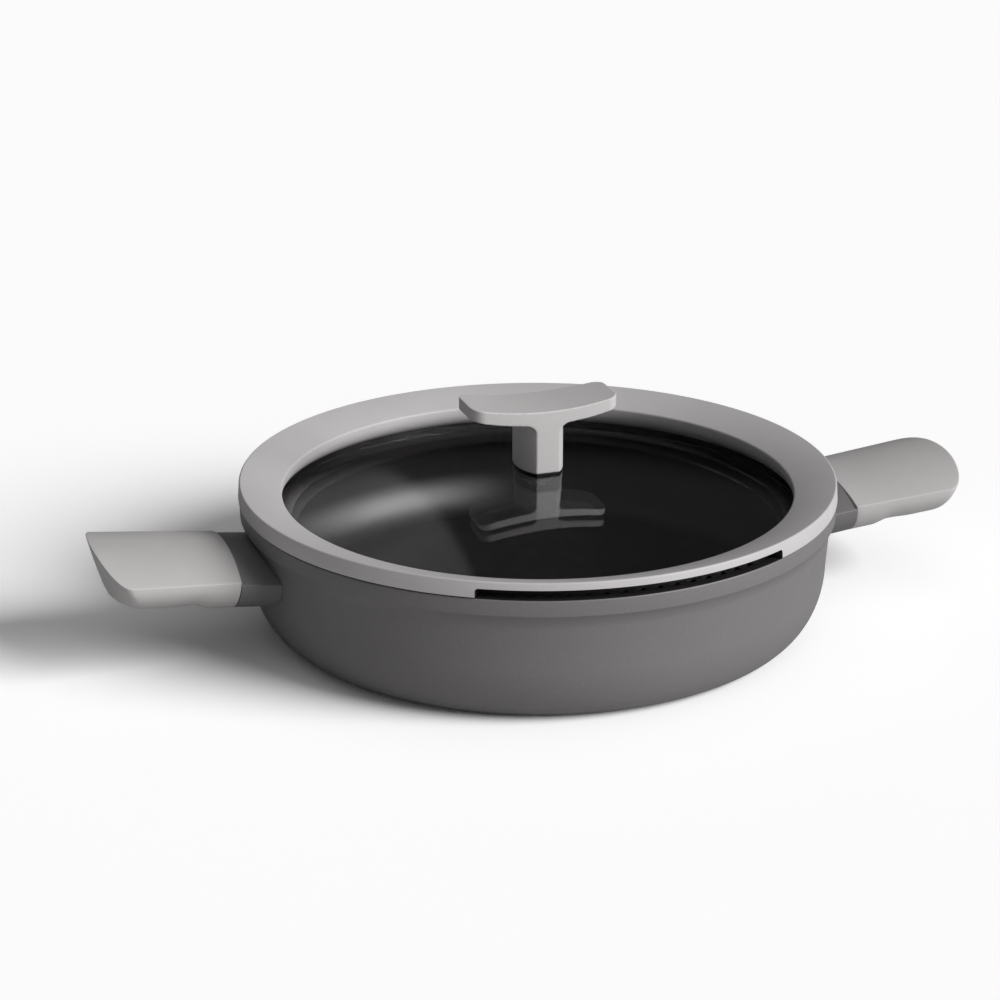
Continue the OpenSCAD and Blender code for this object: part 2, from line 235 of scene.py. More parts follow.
def box_cutter(size, middle, turn=0.0):
    """A box of a size round its middle, turned about the upright."""
    deselect()
    bpy.ops.mesh.primitive_cube_add(size=1, scale=Vector(size) * MM, rotation=(0, 0, turn),
                                    location=Vector(middle) * MM)
    bpy.ops.object.transform_apply()
    return bpy.context.object


def round_cutter(radius, low, high, along=0.0):
    """An upright cylinder between two heights, at a place along x."""
    deselect()
    bpy.ops.mesh.primitive_cylinder_add(vertices=64, radius=radius * MM, depth=(high - low) * MM,
                                        location=(along * MM, 0, (high + low) / 2 * MM))
    return bpy.context.object


def modify(piece, kind, **settings):
    """Adds a modifier and applies it."""
    take(piece)
    bpy.ops.object.modifier_add(type=kind)
    modifier = piece.modifiers[-1]
    for key, value in settings.items():
        setattr(modifier, key, value)
    bpy.ops.object.modifier_apply(modifier=modifier.name)


def combine(piece, tool, operation):
    modify(piece, "BOOLEAN", object=tool, operation=operation, solver="EXACT")
    bpy.data.objects.remove(tool)


def soft_shade(piece, angle=32):
    take(piece)
    bpy.ops.object.shade_smooth_by_angle(angle=math.radians(angle))


def arc(middle_x, middle_z, radius, start, end, steps):
    angles = [math.radians(start + (end - start) * i / steps) for i in range(steps + 1)]
    return [(middle_x + radius * math.cos(angle), middle_z + radius * math.sin(angle)) for angle in angles]


def arc_radius(chord, rise):
    return (chord * chord / 4 + rise * rise) / (2 * rise)


def rounded(corners, steps=5):
    """Points of a closed outline given by (x, z, radius) corners, with an arc where the radius isn't 0."""
    points = []
    for i, (x, z, radius) in enumerate(corners):
        here = Vector((x, z))
        if not radius:
            points.append((x, z))
            continue
        back = Vector(corners[i - 1][:2]) - here
        ahead = Vector(corners[(i + 1) % len(corners)][:2]) - here
        half = back.angle(ahead) / 2
        reach = radius / math.tan(half)
        middle = here + (back.normalized() + ahead.normalized()).normalized() * (radius / math.sin(half))
        start = here + back.normalized() * reach - middle
        end = here + ahead.normalized() * reach - middle
        turn = start.angle_signed(end)
        for j in range(steps + 1):
            angle = math.atan2(start.y, start.x) - turn * j / steps
            points.append((middle.x + radius * math.cos(angle), middle.y + radius * math.sin(angle)))
    return points


def ease(value, start, end):
    share = min(max((value - start) / (end - start), 0), 1)
    return share * share * (3 - 2 * share)


# Pan body

def pan_outside(grow):
    """Outer outline from the edge of the flat base up to the band, as (radius, height, corner radius)."""
    outline = []
    for i in range(25):
        angle = math.radians(90 * i / 24)
        outline.append((CORNER_R + (CORNER_W + grow) * math.sin(angle),
                        CORNER_H - (CORNER_H + grow) * math.cos(angle), 0))
    for i in range(13):
        angle = math.radians(90 * i / 12)
        rise = (1 - math.cos(angle) + math.sin(angle)) / 2
        edge = BAND_EDGE if i == 12 else 0
        outline.append((RIM_R + grow - BAND_PROUD * math.cos(angle), STEP_Z + STEP_H * rise, edge))
    return outline


def model_pan():
    plate_hole = [(0, PLATE_HOLE_T, 0), (PLATE_HOLE_R, PLATE_HOLE_T, 0), (PLATE_HOLE_R, 0, PLATE_EDGE)]
    rim = [(RIM_R, PAN_H, RIM_EDGE), (MOUTH_R, PAN_H, RIM_EDGE), (MOUTH_R, STEP_Z, 0)]
    bowl = []
    for i in range(25):
        angle = math.radians(90 - 90 * i / 24)
        bowl.append((CORNER_R + (CORNER_W - WALL_T) * math.sin(angle),
                     CORNER_H - (CORNER_H - BASE_T) * math.cos(angle), 0))
    base = [(BASE_LOOP_R, BASE_T, 0), (0, BASE_T, 0)]
    piece = turned("pan_shell", rounded(plate_hole + pan_outside(0) + rim + bowl + base))
    soft_shade(piece)
    return piece


# Lid rim

def dome_height(radius, ball):
    return DOME_Z + math.sqrt(ball * ball - radius * radius)


def ring_outline():
    """Section of the ring: outer side, top, crest, lip, the groove that holds the glass, and the skirt."""
    groove_r = GLASS_R + FIT_GAP
    top_ball = DOME_R + FIT_GAP
    low_ball = DOME_R - GLASS_T - FIT_GAP
    corners = [(RIM_R + FLANGE_FLARE, FLANGE_Z, FLANGE_EDGE), (RIM_R, LID_TOP_Z, LID_TOP_EDGE)]
    corners += [(x, z, 0) for x, z in arc(CREST_R + CREST_NOSE, CREST_Z, CREST_NOSE, CREST_START, 180, 8)]
    corners += [(x, z, 0) for x, z in LIP_CURVE]
    corners += [(LIP_R, dome_height(LIP_R, top_ball), LIP_EDGE)]
    corners += [(groove_r, dome_height(groove_r, top_ball), 0)]
    corners += [(groove_r, dome_height(groove_r, low_ball), 0)]
    corners += [(UNDER_LIP_R, dome_height(UNDER_LIP_R, low_ball), LIP_EDGE)]
    corners += [(SKIRT_IN_R, SKIRT_Z, SKIRT_IN_EDGE), (SKIRT_R, SKIRT_Z, SKIRT_EDGE), (SKIRT_R, FLANGE_Z, 0)]
    return rounded(corners)


def slot_cutter():
    """A sector of the ring's lower side, with its upper corners rounded at both ends."""
    half = SLOT_ANGLE / 2
    outline = []
    for radius, way in ((SLOT_FRONT_R, 1), (SLOT_BACK_R, -1)):
        for i in range(61):
            angle = math.radians(-90 + way * (half - 2 * half * i / 60))
            outline.append((radius * math.cos(angle), radius * math.sin(angle), FLANGE_Z - OVER))
    slot = prism("slot_cutter", outline, (0, 0, SLOT_H + OVER))
    take(slot)
    bpy.ops.object.mode_set(mode="EDIT")

    def at_upper_end(place):
        angle = math.degrees(math.atan2(place.y, place.x))
        return place.z > FLANGE_Z + OVER and abs(abs(angle + 90) - half) < 0.1

    pick(slot, at_upper_end)
    bpy.ops.mesh.bevel(offset=SLOT_CORNER * MM, segments=6, profile=0.5, affect="EDGES")
    bpy.ops.object.mode_set(mode="OBJECT")
    return slot


def cut_slits(piece):
    """Cuts the strainer slits through the skirt behind the slot."""
    deep = SKIRT_R - SLOT_BACK_R + OVER
    tall = FLANGE_Z - SKIRT_Z + 2 * OVER
    middle_r = SLOT_BACK_R + deep / 2
    middle_z = SKIRT_Z - OVER + tall / 2
    pitch = (SLOT_ANGLE - SLITS_SHORT_OF_SLOT) / SLIT_COUNT
    for i in range(SLIT_COUNT):
        turn = math.radians(-90 + (i - (SLIT_COUNT - 1) / 2) * pitch)
        middle = (middle_r * math.cos(turn), middle_r * math.sin(turn), middle_z)
        combine(piece, box_cutter((deep, SLIT_W, tall), middle, turn), "DIFFERENCE")


def paint_slot_and_skirt_shade(piece):
    """Gives the faces in the slot and under the flange the ring's second material, a dark silicone that
    paints the shade inside the slot and under the flange.
    """
    take(piece)
    bpy.ops.object.material_slot_add()
    bpy.ops.object.material_slot_add()
    bpy.ops.object.mode_set(mode="EDIT")
    bpy.ops.mesh.select_mode(type="FACE")
    bpy.ops.mesh.select_all(action="DESELECT")
    mesh = bmesh.from_edit_mesh(piece.data)
    for face in mesh.faces:
        middle = face.calc_center_median() / MM
        radius = math.hypot(middle.x, middle.y)
        slot_height = FLANGE_Z - 0.1 < middle.z < FLANGE_Z + SLOT_H + 0.2
        in_slot = slot_height and GLASS_R < radius < RIM_R - 0.3 and middle.y < 0
        in_skirt = radius > LIP_R + 0.2 and middle.z < FLANGE_Z - 0.1
        # These faces are painted dark: painted shade inside the slot and under the flange
        if in_slot or in_skirt:
            face.select_set(True)
    bmesh.update_edit_mesh(piece.data)
    piece.active_material_index = 1
    bpy.ops.object.material_slot_assign()
    bpy.ops.object.mode_set(mode="OBJECT")


def model_lid_rim():
    outline = ring_outline()
    piece = turned("lid_ring", outline + outline[:1], 288)
    combine(piece, slot_cutter(), "DIFFERENCE")
    cut_slits(piece)
    soft_shade(piece)
    paint_slot_and_skirt_shade(piece)
    return piece


# Lid glass

def model_glass():
    spots = [SLEEVE_HOLE_R + (GLASS_R - SLEEVE_HOLE_R) * i / 44 for i in range(45)]
    outline = [(r, dome_height(r, DOME_R)) for r in spots]
    outline += [(r, dome_height(r, DOME_R - GLASS_T)) for r in reversed(spots)]
    piece = turned("glass_dome", outline + outline[:1])
    soft_shade(piece)
    return piece


# Knob

def knob_front():
    """Front outline of the crossbar with the fillets down to the stem, as (x, z) points."""
    top_r = arc_radius(BAR_L, BAR_RISE)
    low_r = arc_radius(BAR_L, BAR_UNDER_RISE)
    under_z = BAR_MID_Z - BAR_T
    fillet_x = STEM_W / 2 - FILLET_SINK + NECK_FILLET
    fillet_z = under_z + low_r - math.sqrt((low_r + NECK_FILLET) ** 2 - fillet_x ** 2)
    touch = math.degrees(math.asin(fillet_x / (low_r + NECK_FILLET)))
    half = BAR_L / 2
    top = [(-half + BAR_L * i / 60, 0) for i in range(61)]
    top = [(x, BAR_MID_Z + top_r - math.sqrt(top_r * top_r - x * x)) for x, z in top]
    touch_x = low_r * math.sin(math.radians(touch))
    under = [half - (half - touch_x) * i / 24 for i in range(24)]
    under = [(x, under_z + low_r - math.sqrt(low_r * low_r - x * x)) for x in under]
    right = under + arc(fillet_x, fillet_z, NECK_FILLET, 90 + touch, 180, 12)
    return top + right + [(-x, z) for x, z in reversed(right)]


def knob_plan():
    """Outline of the crossbar from above: bowed long sides and round corners."""
    side_r = arc_radius(BAR_L, BAR_SIDE_SAG)
    turn = math.asin((BAR_L / 2 - BAR_CORNER) / (side_r - BAR_CORNER))
    middle_y = side_r - BAR_D / 2
    corner_x = BAR_L / 2 - BAR_CORNER
    corner_y = (side_r - BAR_CORNER) * math.cos(turn) - middle_y
    quarter = []
    for i in range(16):
        quarter.append((side_r * math.sin(turn * i / 16), side_r * math.cos(turn * i / 16) - middle_y))
    for i in range(17):
        angle = (math.pi / 2 - turn) * (1 - i / 16)
        quarter.append((corner_x + BAR_CORNER * math.cos(angle), corner_y + BAR_CORNER * math.sin(angle)))
    right = quarter + [(x, -y) for x, y in reversed(quarter)]
    return right + [(-x, y) for x, y in reversed(right[1:-1])]


def stem_outline():
    """Outline of the stem from above: flat front and back, bowed sides."""
    side_r = arc_radius(BAR_D, (STEM_MID_W - STEM_W) / 2)
    middle_x = side_r - STEM_MID_W / 2
    half = BAR_D / 2 + STEM_OVER
    ys = [-half + 2 * half * i / 40 for i in range(41)]
    side = [(math.sqrt(side_r * side_r - y * y) - middle_x, y) for y in ys]
    return side + [(-x, -y) for x, y in side]


def model_knob():
    front = [(x, BLANK_HALF_D, z) for x, z in knob_front()]
    piece = prism("knob_grip", front, (0, -2 * BLANK_HALF_D, 0))
    stem = [(x, y, FOOT_Z) for x, y in stem_outline()]
    combine(piece, prism("stem", stem, (0, 0, BAR_MID_Z - BAR_T / 2 - FOOT_Z)), "UNION")
    plan = [(x, y, FOOT_Z - OVER) for x, y in knob_plan()]
    combine(piece, prism("plan", plan, (0, 0, BLANK_H)), "INTERSECT")
    modify(piece, "REMESH", mode="VOXEL", voxel_size=KNOB_VOXEL * MM)
    modify(piece, "SMOOTH", factor=0.5, iterations=6)
    hole = round_cutter(INSERT_HOLE_R, FOOT_Z - 2 * OVER, FOOT_Z + INSERT_HOLE_L)
    combine(piece, hole, "DIFFERENCE")
    soft_shade(piece, 50)
    return piece


# Grips and necks

def grip_outline():
    """Plan of the top of a grip with its inner end on x = 0: straight end, flared sides, elliptical tip."""
    flare_end = GRIP_L - TIP_L
    half = GRIP_HALF_W + GRIP_FLARE * flare_end
    side = [(flare_end * i / 16, GRIP_HALF_W + GRIP_FLARE * flare_end * i / 16) for i in range(16)]
    tip_angles = [math.radians(3 * i) for i in range(31)]
    tip = [(flare_end + TIP_L * math.sin(angle), half * math.cos(angle)) for angle in tip_angles]
    upper = side + tip
    end = [(0, -GRIP_HALF_W + 2 * GRIP_HALF_W * i / 24) for i in range(1, 24)]
    return upper + [(x, -y) for x, y in reversed(upper[:-1])] + end


def tip_lean(share):
    """Scale along a grip at a share of its depth, from the lean of its end wall."""
    lean = (1 - TIP_ROUND) * share + TIP_ROUND * (1 - math.sqrt(1 - share * share))
    return 1 - TIP_TUCK * lean / GRIP_L


def drawn_in(share):
    """Scale across a grip at a share of its depth, from the rounding of its underside."""
    return 1 - GRIP_TUCK * (1 - math.sqrt(1 - share * share)) / TUCK_HALF_W


def grip_levels():
    """Loops of a grip from the middle of its underside, up its wall and in over its top. Each is the plan
    scaled by (along, across), moved out by shift and set at a height."""
    levels = []
    along = tip_lean(1)
    across = drawn_in(1)
    for share in (0.1, 0.3, 0.5, 0.7, 0.88):
        levels.append((along * share, across * share, LOOP_MIDDLE * along * (1 - share), -GRIP_DEPTH))
    for i in range(16, 1, -1):
        share = math.sin(math.radians(90 * i / 16))
        levels.append((tip_lean(share), drawn_in(share), 0, -GRIP_DEPTH * share))
    for share in (1, 0.97, 0.935, 0.89, 0.84, 0.78, 0.71, 0.63, 0.54, 0.44, 0.33, 0.21, 0.1):
        levels.append((share, share, LOOP_MIDDLE * (1 - share), 0))
    return levels


def crown(across):
    return CROWN_H * (1 - abs(across / CROWN_HALF) ** CROWN_POWER)


def crown_grip(piece):
    """Lifts the top to its crown and the wall in step with it, and hollows the underside for the fingers."""
    mesh = bmesh.from_edit_mesh(piece.data)
    for corner in mesh.verts:
        along, across, height = corner.co / MM
        if height > -0.01:
            corner.co.z = crown(across) * MM
            continue
        share = min(-height / GRIP_DEPTH, 1)
        rise = crown(across / drawn_in(share))
        fade = 1 - FINGER_FADE * ease(along, FADE_START, FADE_END)
        hollow = FINGER_STEP * ease(along, FINGER_START, FINGER_FULL) * fade * share
        stretch = (GRIP_DEPTH + rise) / GRIP_DEPTH
        corner.co.z = ((height + GRIP_DEPTH) * stretch - GRIP_DEPTH + hollow) * MM
    bmesh.update_edit_mesh(piece.data)


def pocket_cutter(low, high):
    """The room for a tongue, between two places along the handle."""
    return box_cutter((high - low, POCKET_W, POCKET_T), ((high + low) / 2, 0, TONGUE_MID_Z))


def model_grip(name):
    levels = grip_levels()
    along, across, shift, height = levels[0]
    piece = drawn(name, [(shift + along * x, across * y, height) for x, y in grip_outline()])
    for before, after in zip(levels, levels[1:]):
        stretch = after[0] / before[0]
        push = (after[2] - stretch * before[2], 0, after[3] - before[3])
        bpy.ops.mesh.extrude_region_move(TRANSFORM_OT_translate={"value": (0, 0, 0)})
        bpy.ops.transform.resize(value=(stretch, after[1] / before[1], 1), center_override=(0, 0, 0))
        bpy.ops.transform.translate(value=Vector(push) * MM)
    bpy.ops.mesh.select_all(action="SELECT")
    bpy.ops.mesh.normals_make_consistent(inside=False)
    for cut in FINGER_CUTS:
        pick(piece, lambda place: place.z < -0.01)
        bpy.ops.mesh.bisect(plane_co=(cut * MM, 0, 0), plane_no=(1, 0, 0))
    crown_grip(piece)
    bpy.ops.mesh.select_mode(type="EDGE")
    bpy.ops.mesh.select_all(action="DESELECT")
    bpy.ops.mesh.edges_select_sharp(sharpness=math.radians(38))
    bpy.ops.mesh.bevel(offset=GRIP_EDGE * MM, segments=3, profile=0.5, affect="EDGES")
    bpy.ops.object.mode_set(mode="OBJECT")

    combine(piece, round_cutter(HEAD_HOLE_R, -GRIP_DEPTH - 2 * OVER, SEAT_Z, SCREW_S), "DIFFERENCE")
    combine(piece, round_cutter(SCREW_HOLE_R, SEAT_Z - 2 * OVER, SCREW_HOLE_TOP, SCREW_S), "DIFFERENCE")
    combine(piece, pocket_cutter(-2 * OVER, POCKET_L), "DIFFERENCE")
    return piece


def neck_outline():
    """Section of a neck: crowned top, two edges at the crease and an underside drawn in like the grip's."""
    half = GRIP_HALF_W
    shares = [abs(i / 24) for i in range(-24, 25)]
    crest = [CROWN_H * (1 - share ** CROWN_POWER) for share in shares]
    top = [(half * i / 24, z, 0) for i, z in zip(range(-24, 25), crest)]
    top[0] = (-half, 0, NECK_EDGE)
    top[-1] = (half, 0, NECK_EDGE)
    angles = [math.radians(90 * i / 14) for i in range(1, 15)]
    right = [(half - GRIP_TUCK * (1 - math.cos(a)), -GRIP_DEPTH * math.sin(a), 0) for a in angles]
    return rounded(top + right + [(-y, z, 0) for y, z, edge in reversed(right)])


def model_neck(name):
    piece = prism(name, [(-NECK_L, y, z) for y, z in neck_outline()], (NECK_L - FIT_GAP, 0, 0))
    combine(piece, pocket_cutter(-NECK_L - 10, 10), "DIFFERENCE")
    return piece


def set_on_handle(piece, side):
    """Puts a piece that was modelled on its own on the tilted right (1) or left (-1) handle."""
    take(piece)
    piece.rotation_euler = (0, -math.radians(HANDLE_TILT), 0)
    piece.location = (GRIP_X * MM, 0, CREASE_Z * MM)
    bpy.ops.object.transform_apply()
    if side < 0:
        piece.rotation_euler = (0, 0, math.pi)
        bpy.ops.object.transform_apply()


def model_handles():
    pieces = {}
    outside = [(r, z) for r, z, edge in pan_outside(FIT_GAP)]
    wall = [(0, -FIT_GAP)] + outside + [(RIM_R + FIT_GAP, WALL_TOP_Z), (0, WALL_TOP_Z)]
    for word, side in (("right", 1), ("left", -1)):
        grip = model_grip("handle_grip_" + word)
        set_on_handle(grip, side)
        soft_shade(grip, 30)
        neck = model_neck("handle_neck_" + word)
        set_on_handle(neck, side)
        combine(neck, turned("wall", wall), "DIFFERENCE")
        soft_shade(neck, 30)
        pieces["grip_" + word] = grip
        pieces["neck_" + word] = neck
    return pieces


# Finishes

class Nodes:
    """Adds nodes to a tree and joins them."""

    def __init__(self, tree):
        self.tree = tree

    def node(self, kind, **settings):
        node = self.tree.nodes.new(kind)
        for key, value in settings.items():
            setattr(node, key, value)
        return node

    def link(self, source, socket):
        """Joins an output to a socket, or sets the socket to a plain value."""
        if hasattr(source, "links"):
            self.tree.links.new(source, socket)
        else:
            socket.default_value = source

    def ramp(self, factor, low, high, out_low=0.0, out_high=1.0):
        node = self.node("ShaderNodeMapRange", interpolation_type="SMOOTHSTEP")
        self.link(factor, node.inputs["Value"])
        node.inputs["From Min"].default_value = low
        node.inputs["From Max"].default_value = high
        node.inputs["To Min"].default_value = out_low
        node.inputs["To Max"].default_value = out_high
        return node.outputs["Result"]

    def math(self, operation, first, second=0.0):
        node = self.node("ShaderNodeMath", operation=operation)
        self.link(first, node.inputs[0])
        self.link(second, node.inputs[1])
        return node.outputs[0]

    def mix(self, factor, first, second):
        node = self.node("ShaderNodeMix", data_type="RGBA")
        self.link(factor, node.inputs["Factor"])
        self.link(first, node.inputs[6])
        self.link(second, node.inputs[7])
        return node.outputs[2]


class Finish(Nodes):
    """A procedural material on Object coordinates."""

    def __init__(self, name):
        self.material = bpy.data.materials.new(name)
        self.material.use_nodes = True
        super().__init__(self.material.node_tree)
        self.shader = self.tree.nodes["Principled BSDF"]
        self.place = self.node("ShaderNodeTexCoord").outputs["Object"]

    def set(self, name, value):
        self.link(value, self.shader.inputs[name])

    def noise(self, scale, detail=2.0, roughness=0.5, place=None):
        node = self.node("ShaderNodeTexNoise")
        node.inputs["Scale"].default_value = scale
        node.inputs["Detail"].default_value = detail
        node.inputs["Roughness"].default_value = roughness
        self.link(place or self.place, node.inputs["Vector"])
        return node.outputs["Fac"]

    def bump(self, height, strength, distance):
        node = self.node("ShaderNodeBump")
        node.inputs["Strength"].default_value = strength
        node.inputs["Distance"].default_value = distance
        self.link(height, node.inputs["Height"])
        self.set("Normal", node.outputs["Normal"])

    def radius_and_height(self):
        split = self.node("ShaderNodeSeparateXYZ")
        self.link(self.place, split.inputs[0])
        x, y, z = split.outputs
        squares = self.math("ADD", self.math("MULTIPLY", x, x), self.math("MULTIPLY", y, y))
        return self.math("SQRT", squares), z


def soft_grey(name, colour):
    """Soft-touch matte grey: very fine grain, a faint cloudiness, and a slightly uneven sheen."""
    finish = Finish(name)
    light = tuple(c * 1.03 for c in colour) + (1,)
    dark = tuple(c * 0.965 for c in colour) + (1,)
    cloud = finish.noise(22, 3)
    grain = finish.noise(1900, 2)
    factor = finish.math("ADD", finish.math("MULTIPLY", cloud, 0.6), finish.math("MULTIPLY", grain, 0.4))
    finish.set("Base Color", finish.mix(finish.ramp(factor, 0.35, 0.65), dark, light))
    finish.set("Roughness", finish.ramp(finish.noise(60, 4), 0.3, 0.7, 0.5, 0.6))
    finish.set("Specular IOR Level", 0.4)
    finish.bump(grain, 0.22, 0.00004)
    return finish.material


def dark_coating_and_rim_shade(finish):
    """1 on the bowl's surface and on the top of the rim, 0 on the outside. On the top of the rim the dark
    colour is painted shade for where the rim shows in the lid's slot.
    """
    radius, height = finish.radius_and_height()
    past_corner = finish.math("MAXIMUM", finish.math("SUBTRACT", radius, CORNER_R * MM), 0.0)
    below_corner = finish.math("MAXIMUM", finish.math("SUBTRACT", CORNER_H * MM, height), 0.0)
    across = finish.math("DIVIDE", past_corner, COAT_W * MM)
    down = finish.math("DIVIDE", below_corner, COAT_H * MM)
    reach = finish.math("ADD", finish.math("MULTIPLY", across, across), finish.math("MULTIPLY", down, down))
    bowl = finish.math("LESS_THAN", reach, 1.0)
    # The top of the rim is painted dark: painted shade where it shows in the lid's slot
    rim_top_shade = finish.math("GREATER_THAN", height, (PAN_H - RIM_SHADE_T) * MM)
    return finish.math("MAXIMUM", bowl, rim_top_shade)


def pan_coating():
    """Baked coating: mid grey with fine metal speckle outside, darker and glossier non-stick inside. The top
    of the rim takes the dark inner colour as painted shade where it shows in the lid's slot.
    """
    finish = Finish("pan coating")
    # The mask is 1 in the bowl and on the rim top; on the rim top the dark colour is painted shade
    inside = dark_coating_and_rim_shade(finish)
    speck = finish.ramp(finish.noise(2600, 2), 0.56, 0.72)
    cloud = finish.noise(14, 3)
    outer = finish.mix(cloud, (0.141, 0.1345, 0.136, 1), (0.154, 0.147, 0.1485, 1))
    outer = finish.mix(finish.math("MULTIPLY", speck, 0.35), outer, (0.30, 0.29, 0.293, 1))
    inner_speck = finish.math("MULTIPLY", speck, 0.3)
    inner = finish.mix(inner_speck, (0.0138, 0.0124, 0.0138, 1), (0.037, 0.0335, 0.037, 1))
    finish.set("Base Color", finish.mix(inside, outer, inner))
    rough = finish.ramp(finish.noise(45, 4), 0.3, 0.7, 0.40, 0.50)
    finish.set("Roughness", finish.math("SUBTRACT", rough, finish.math("MULTIPLY", inside, 0.08)))
    finish.set("Specular IOR Level", 0.4)
    finish.bump(finish.noise(1500, 3), 0.25, 0.00005)
    return finish.material


def neck_coating():
    """Dark grey with the pan's speckle, a little plainer."""
    finish = Finish("neck coating")
    speck = finish.math("MULTIPLY", finish.ramp(finish.noise(2600, 2), 0.56, 0.74), 0.3)
    base = finish.mix(finish.noise(30, 3), (0.130, 0.127, 0.130, 1), (0.145, 0.141, 0.144, 1))
    finish.set("Base Color", finish.mix(speck, base, (0.24, 0.235, 0.24, 1)))
    finish.set("Roughness", finish.ramp(finish.noise(60, 4), 0.3, 0.7, 0.42, 0.52))
    finish.set("Specular IOR Level", 0.4)
    finish.bump(finish.noise(1500, 3), 0.2, 0.00005)
    return finish.material


def clear_glass():
    """Tempered glass, a touch grey, with the faintest waviness. Its mirror images come from a coat that is
    full where the surface is seen from above and fades where it is seen at a flat angle."""
    finish = Finish("lid glass")
    finish.set("Base Color", finish.mix(finish.noise(9, 2), (0.82, 0.81, 0.82, 1), (0.88, 0.87, 0.88, 1)))
    finish.set("Transmission Weight", 1.0)
    finish.set("IOR", 1.005)
    finish.set("Coat IOR", 1.8)
    finish.set("Coat Roughness", 0.01)
    slant = finish.node("ShaderNodeLayerWeight").outputs["Facing"]
    finish.set("Coat Weight", finish.ramp(slant, 0.63, 0.78, 1.0, 0.04))
    finish.set("Roughness", finish.ramp(finish.noise(35, 4), 0.45, 0.75, 0.0, 0.02))
    finish.bump(finish.noise(25, 1), 0.02, 0.0002)
    return finish.material


def steel(name, circular):
    """Steel with fine brush lines, round the axis or along the handle."""
    finish = Finish(name)
    finish.set("Metallic", 1.0)
    if circular:
        radius, height = finish.radius_and_height()
        join = finish.node("ShaderNodeCombineXYZ")
        finish.link(radius, join.inputs[0])
        finish.link(height, join.inputs[2])
        lines = finish.noise(2600, 3, 0.6, join.outputs[0])
    else:
        stretch = finish.node("ShaderNodeMapping")
        stretch.inputs["Scale"].default_value = (0.06, 1, 1)
        finish.link(finish.place, stretch.inputs["Vector"])
        lines = finish.noise(2400, 3, 0.6, stretch.outputs[0])
    finish.set("Base Color", finish.mix(lines, (0.56, 0.56, 0.57, 1), (0.68, 0.68, 0.69, 1)))
    finish.set("Roughness", finish.ramp(lines, 0.3, 0.7, 0.24, 0.38))
    finish.bump(lines, 0.3, 0.00003)
    return finish.material


def dark_seal_and_shade():
    """Matte dark silicone with a fine grain. Inside the lid ring's slot and under its flange it is painted
    shade.
    """
    finish = Finish("dark silicone and painted shade")
    cloud = finish.noise(40, 3)
    finish.set("Base Color", finish.mix(cloud, (0.016, 0.016, 0.017, 1), (0.026, 0.026, 0.028, 1)))
    finish.set("Roughness", finish.ramp(finish.noise(90, 3), 0.3, 0.7, 0.5, 0.62))
    finish.bump(finish.noise(1800, 2), 0.2, 0.00004)
    return finish.material


def brass():
    finish = Finish("brass insert")
    finish.set("Metallic", 1.0)
    finish.set("Base Color", finish.mix(finish.noise(300, 3), (0.66, 0.48, 0.20, 1), (0.76, 0.58, 0.28, 1)))
    finish.set("Roughness", finish.ramp(finish.noise(500, 3), 0.3, 0.7, 0.25, 0.4))
    return finish.material


# Pieces on their bodies

def place_piece(piece, body, node, material, second=None):
    """Finishes a piece, puts it on its body and hides the node that it stands for."""
    if second is None:
        piece.data.materials.clear()
        piece.data.materials.append(material)
    else:
        piece.material_slots[0].material = material
        piece.material_slots[1].material = second
    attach(piece, body)
    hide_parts(node)


def recolour(material, *names):
    """Gives nodes that stay in view a material."""
    for name in names:
        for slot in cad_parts[name].material_slots:
            slot.material = material


handle_grey = soft_grey("soft-touch grip", (0.430, 0.419, 0.416))
rim_grey = soft_grey("soft lid rim", (0.450, 0.436, 0.440))
knob_grey = soft_grey("soft-touch knob", (0.48, 0.468, 0.466))
coating = pan_coating()
neck_finish = neck_coating()
seal_and_shade = dark_seal_and_shade()
plain_steel = steel("plain steel", False)
turned_steel = steel("turned steel", True)

place_piece(model_pan(), "pan", "pan_body", coating)
# The ring's second material is painted shade in its slot and under its flange
place_piece(model_lid_rim(), "lid", "lid_rim", rim_grey, seal_and_shade)
place_piece(model_glass(), "lid", "lid_glass", clear_glass())
place_piece(model_knob(), "lid", "knob", knob_grey)
handles = model_handles()
for side_word in ("left", "right"):
    place_piece(handles["grip_" + side_word], "pan", "grip_" + side_word, handle_grey)
    place_piece(handles["neck_" + side_word], "pan", "neck_" + side_word, neck_finish)

recolour(turned_steel, "induction_plate", "handle_washers", "knob_washer")
recolour(plain_steel, "tongue_left", "tongue_right", "handle_screws", "knob_screw")
recolour(handle_grey, "screw_plugs")
recolour(seal_and_shade, "knob_pad", "hole_grommet")
recolour(brass(), "knob_insert")


# Floor, light and camera, in metres

def model_floor():
    """Matte pale floor. It is white to the camera and through the glass, and dimmer in mirror images."""
    deselect()
    bpy.ops.mesh.primitive_plane_add(size=9, location=(0, 0, -0.0003))
    floor = bpy.context.object
    floor.name = "studio_floor"
    finish = Finish("studio floor")
    path = finish.node("ShaderNodeLightPath")
    seen = finish.math("MAXIMUM", path.outputs["Is Camera Ray"], path.outputs["Is Transmission Ray"])
    soft = finish.mix(finish.noise(2, 2), (0.66, 0.66, 0.66, 1), (0.70, 0.70, 0.70, 1))
    mirrored = finish.mix(path.outputs["Is Glossy Ray"], soft, (0.40, 0.40, 0.40, 1))
    finish.set("Base Color", finish.mix(seen, mirrored, (1.14, 1.14, 1.14, 1)))
    finish.set("Roughness", 1.0)
    finish.set("Specular IOR Level", 0.0)
    floor.data.materials.append(finish.material)


def add_key_light():
    """Large soft light from the front right, 30 degrees up, far enough away to light everything evenly."""
    deselect()
    towards = Vector((0.6250, -0.5950, 0.5))
    turn = towards.to_track_quat("Z", "Y").to_euler()
    bpy.ops.object.light_add(type="SUN", location=towards, rotation=turn)
    lamp = bpy.context.object
    lamp.name = "key_light"
    lamp.data.energy = 3.75
    lamp.data.angle = math.radians(34)


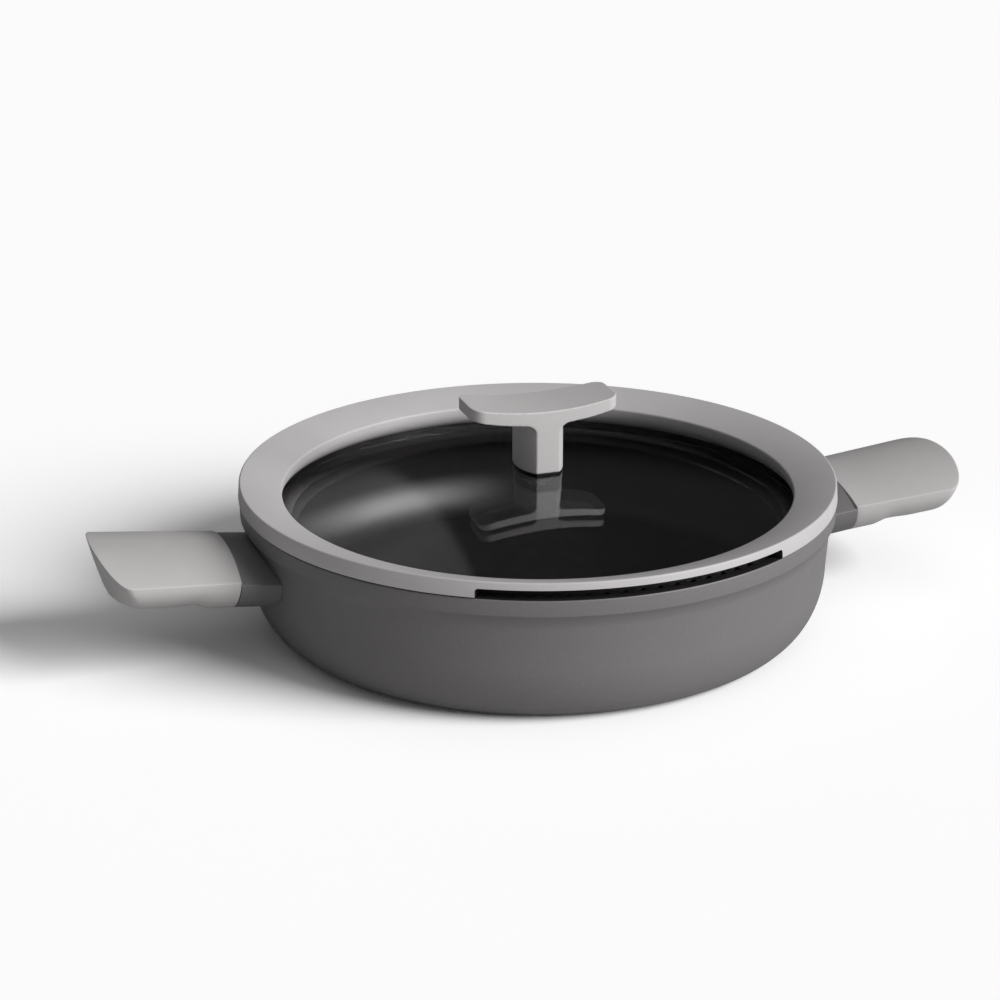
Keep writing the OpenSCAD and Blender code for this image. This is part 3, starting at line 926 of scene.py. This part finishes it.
def studio_world():
    """Dim room light, darker behind the pan and at its left, with one soft strip light high behind it. The
    camera sees it white. Turn is the angle from straight behind towards the right, and rise the height."""
    world = bpy.data.worlds.new("studio")
    bpy.context.scene.world = world
    world.use_nodes = True
    world.node_tree.nodes.clear()
    sky = Nodes(world.node_tree)
    split = sky.node("ShaderNodeSeparateXYZ")
    sky.link(sky.node("ShaderNodeTexCoord").outputs["Generated"], split.inputs[0])
    across, ahead, up = split.outputs
    turn = sky.math("DEGREES", sky.math("ARCTAN2", across, ahead))
    rise = sky.math("DEGREES", sky.math("ARCSINE", up))

    off_back = sky.math("ABSOLUTE", sky.math("SUBTRACT", turn, 20.0))
    behind = sky.math("MULTIPLY", sky.ramp(off_back, 75, 100, 1, 0), sky.ramp(rise, 50, 66, 1, 0))
    back_level = sky.ramp(turn, 9.0, 11.0, 0.15, 0.03)
    off_left = sky.math("ABSOLUTE", sky.math("ADD", turn, 80.0))
    left = sky.math("MULTIPLY", sky.ramp(off_left, 35, 80, 1, 0), sky.ramp(rise, 35, 70, 1, 0))
    room_level = sky.ramp(left, 0, 1, 0.40, 0.04)
    back = sky.math("MULTIPLY", behind, back_level)
    room = sky.math("MULTIPLY", sky.math("SUBTRACT", 1.0, behind), room_level)

    strip_rise = sky.math("MULTIPLY", sky.ramp(rise, 20, 27, 0, 1), sky.ramp(rise, 27, 34, 1, 0))
    strip_turn = sky.math("MULTIPLY", sky.ramp(turn, -5, 7, 0, 1), sky.ramp(turn, 7, 19, 1, 0))
    strip = sky.math("MULTIPLY", sky.math("MULTIPLY", strip_rise, strip_turn), 0.65)

    level = sky.math("ADD", sky.math("ADD", back, room), strip)
    level = sky.math("MAXIMUM", level, sky.node("ShaderNodeLightPath").outputs["Is Camera Ray"])
    background = sky.node("ShaderNodeBackground")
    sky.link(level, background.inputs["Color"])
    output = sky.node("ShaderNodeOutputWorld")
    sky.link(background.outputs[0], output.inputs[0])


def add_camera():
    """Camera at the photograph's place, found from the rim's ellipses and the grips."""
    deselect()
    place = (-0.38486835, -1.08315914, 0.47961786)
    turn = [math.radians(angle) for angle in (69.8456570, 0.0378929, -18.6650996)]
    bpy.ops.object.camera_add(location=place, rotation=turn)
    camera = bpy.context.object
    camera.name = "camera"
    camera.data.lens = 90
    camera.data.sensor_width = 36
    bpy.context.scene.camera = camera


model_floor()
studio_world()
add_key_light()
add_camera()
bpy.context.scene.view_settings.view_transform = "Standard"
